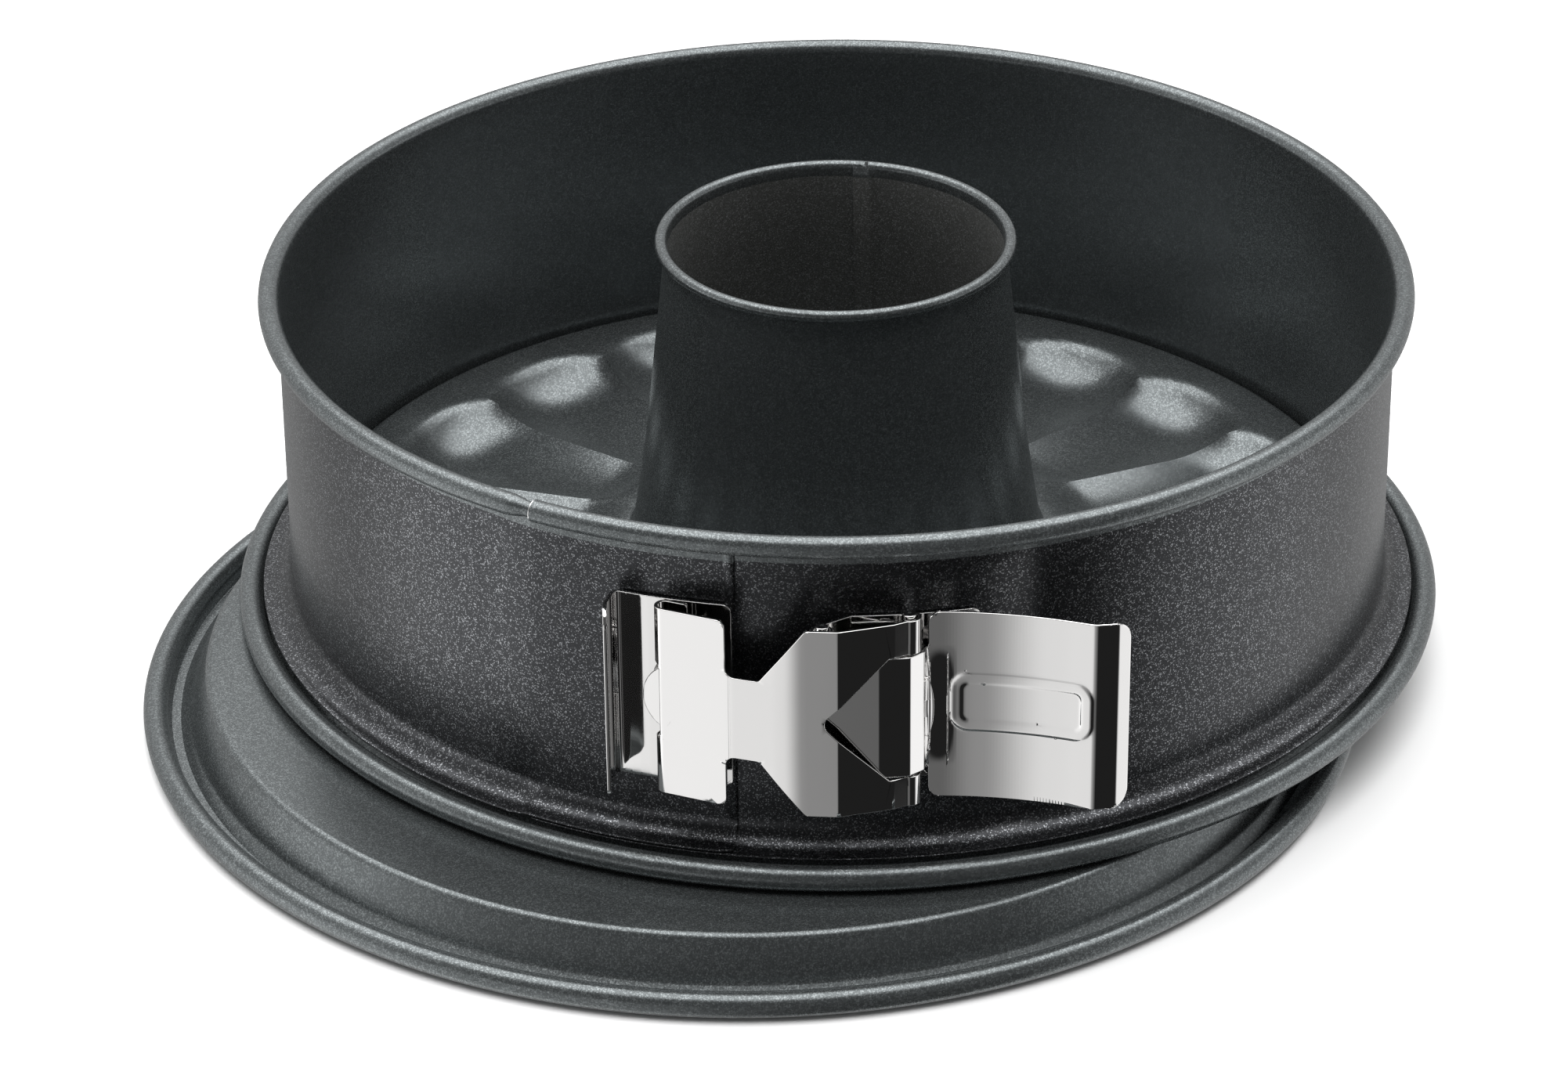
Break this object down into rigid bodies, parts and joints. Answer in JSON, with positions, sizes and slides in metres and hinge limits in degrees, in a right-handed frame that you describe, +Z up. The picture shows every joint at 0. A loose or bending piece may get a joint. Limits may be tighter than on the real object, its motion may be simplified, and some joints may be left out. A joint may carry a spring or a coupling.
{
  "type": "springform pan",
  "caption": "Round springform cake pan with a sprung split ring, a toggle clasp, a fluted tube base and a spare flat base.",
  "frame": {"origin": "on the table, midway between the axis of the ring and the axis of the flat base, which is the middle of the footprint", "axes": "+Z up, clasp towards -Y, +X to the right seen from the clasp"},
  "size_m": [0.3088, 0.3179, 0.1048],
  "materials": {
    "release_coating": "satin non-stick coating with fine metallic sparkle",
    "wall_coating": "dark satin non-stick coating with fine metallic sparkle",
    "bright_steel": "mirror-bright nickel-plated steel"
  },
  "bodies": {
    "spare_base": {"flat_base": "release_coating"},
    "pan_base": {"tube_base": "release_coating", "centre_tube": "wall_coating"},
    "ring": {"ring": "wall_coating", "catch_plate": "bright_steel", "hinge_plate": "bright_steel", "hinge_pin": "bright_steel"},
    "lever": {"lever": "bright_steel", "link_pin": "bright_steel"},
    "link": {"link_plate": "bright_steel"}
  },
  "joints": [
    {"name": "pan_lift", "type": "slide", "parent": "spare_base", "child": "pan_base", "axis": [0, 0, 1], "range_m": [0, 0.12]},
    {"name": "ring_lift", "type": "slide", "parent": "pan_base", "child": "ring", "axis": [0, 0, 1], "range_m": [0, 0.11]},
    {"name": "lever_hinge", "type": "hinge", "parent": "ring", "child": "lever", "pos_m": [0.00565, -0.1232, 0.0563], "axis": [0, 0, -1], "range_deg": [0, 135]},
    {"name": "link_hinge", "type": "hinge", "parent": "lever", "child": "link", "pos_m": [0.02455, -0.122, 0.0563], "axis": [0, 0, -1], "range_deg": [-135, 0]}
  ],
  "couplings": [
    {"joint": "link_hinge", "follows": "lever_hinge", "ratio": -1}
  ]
}
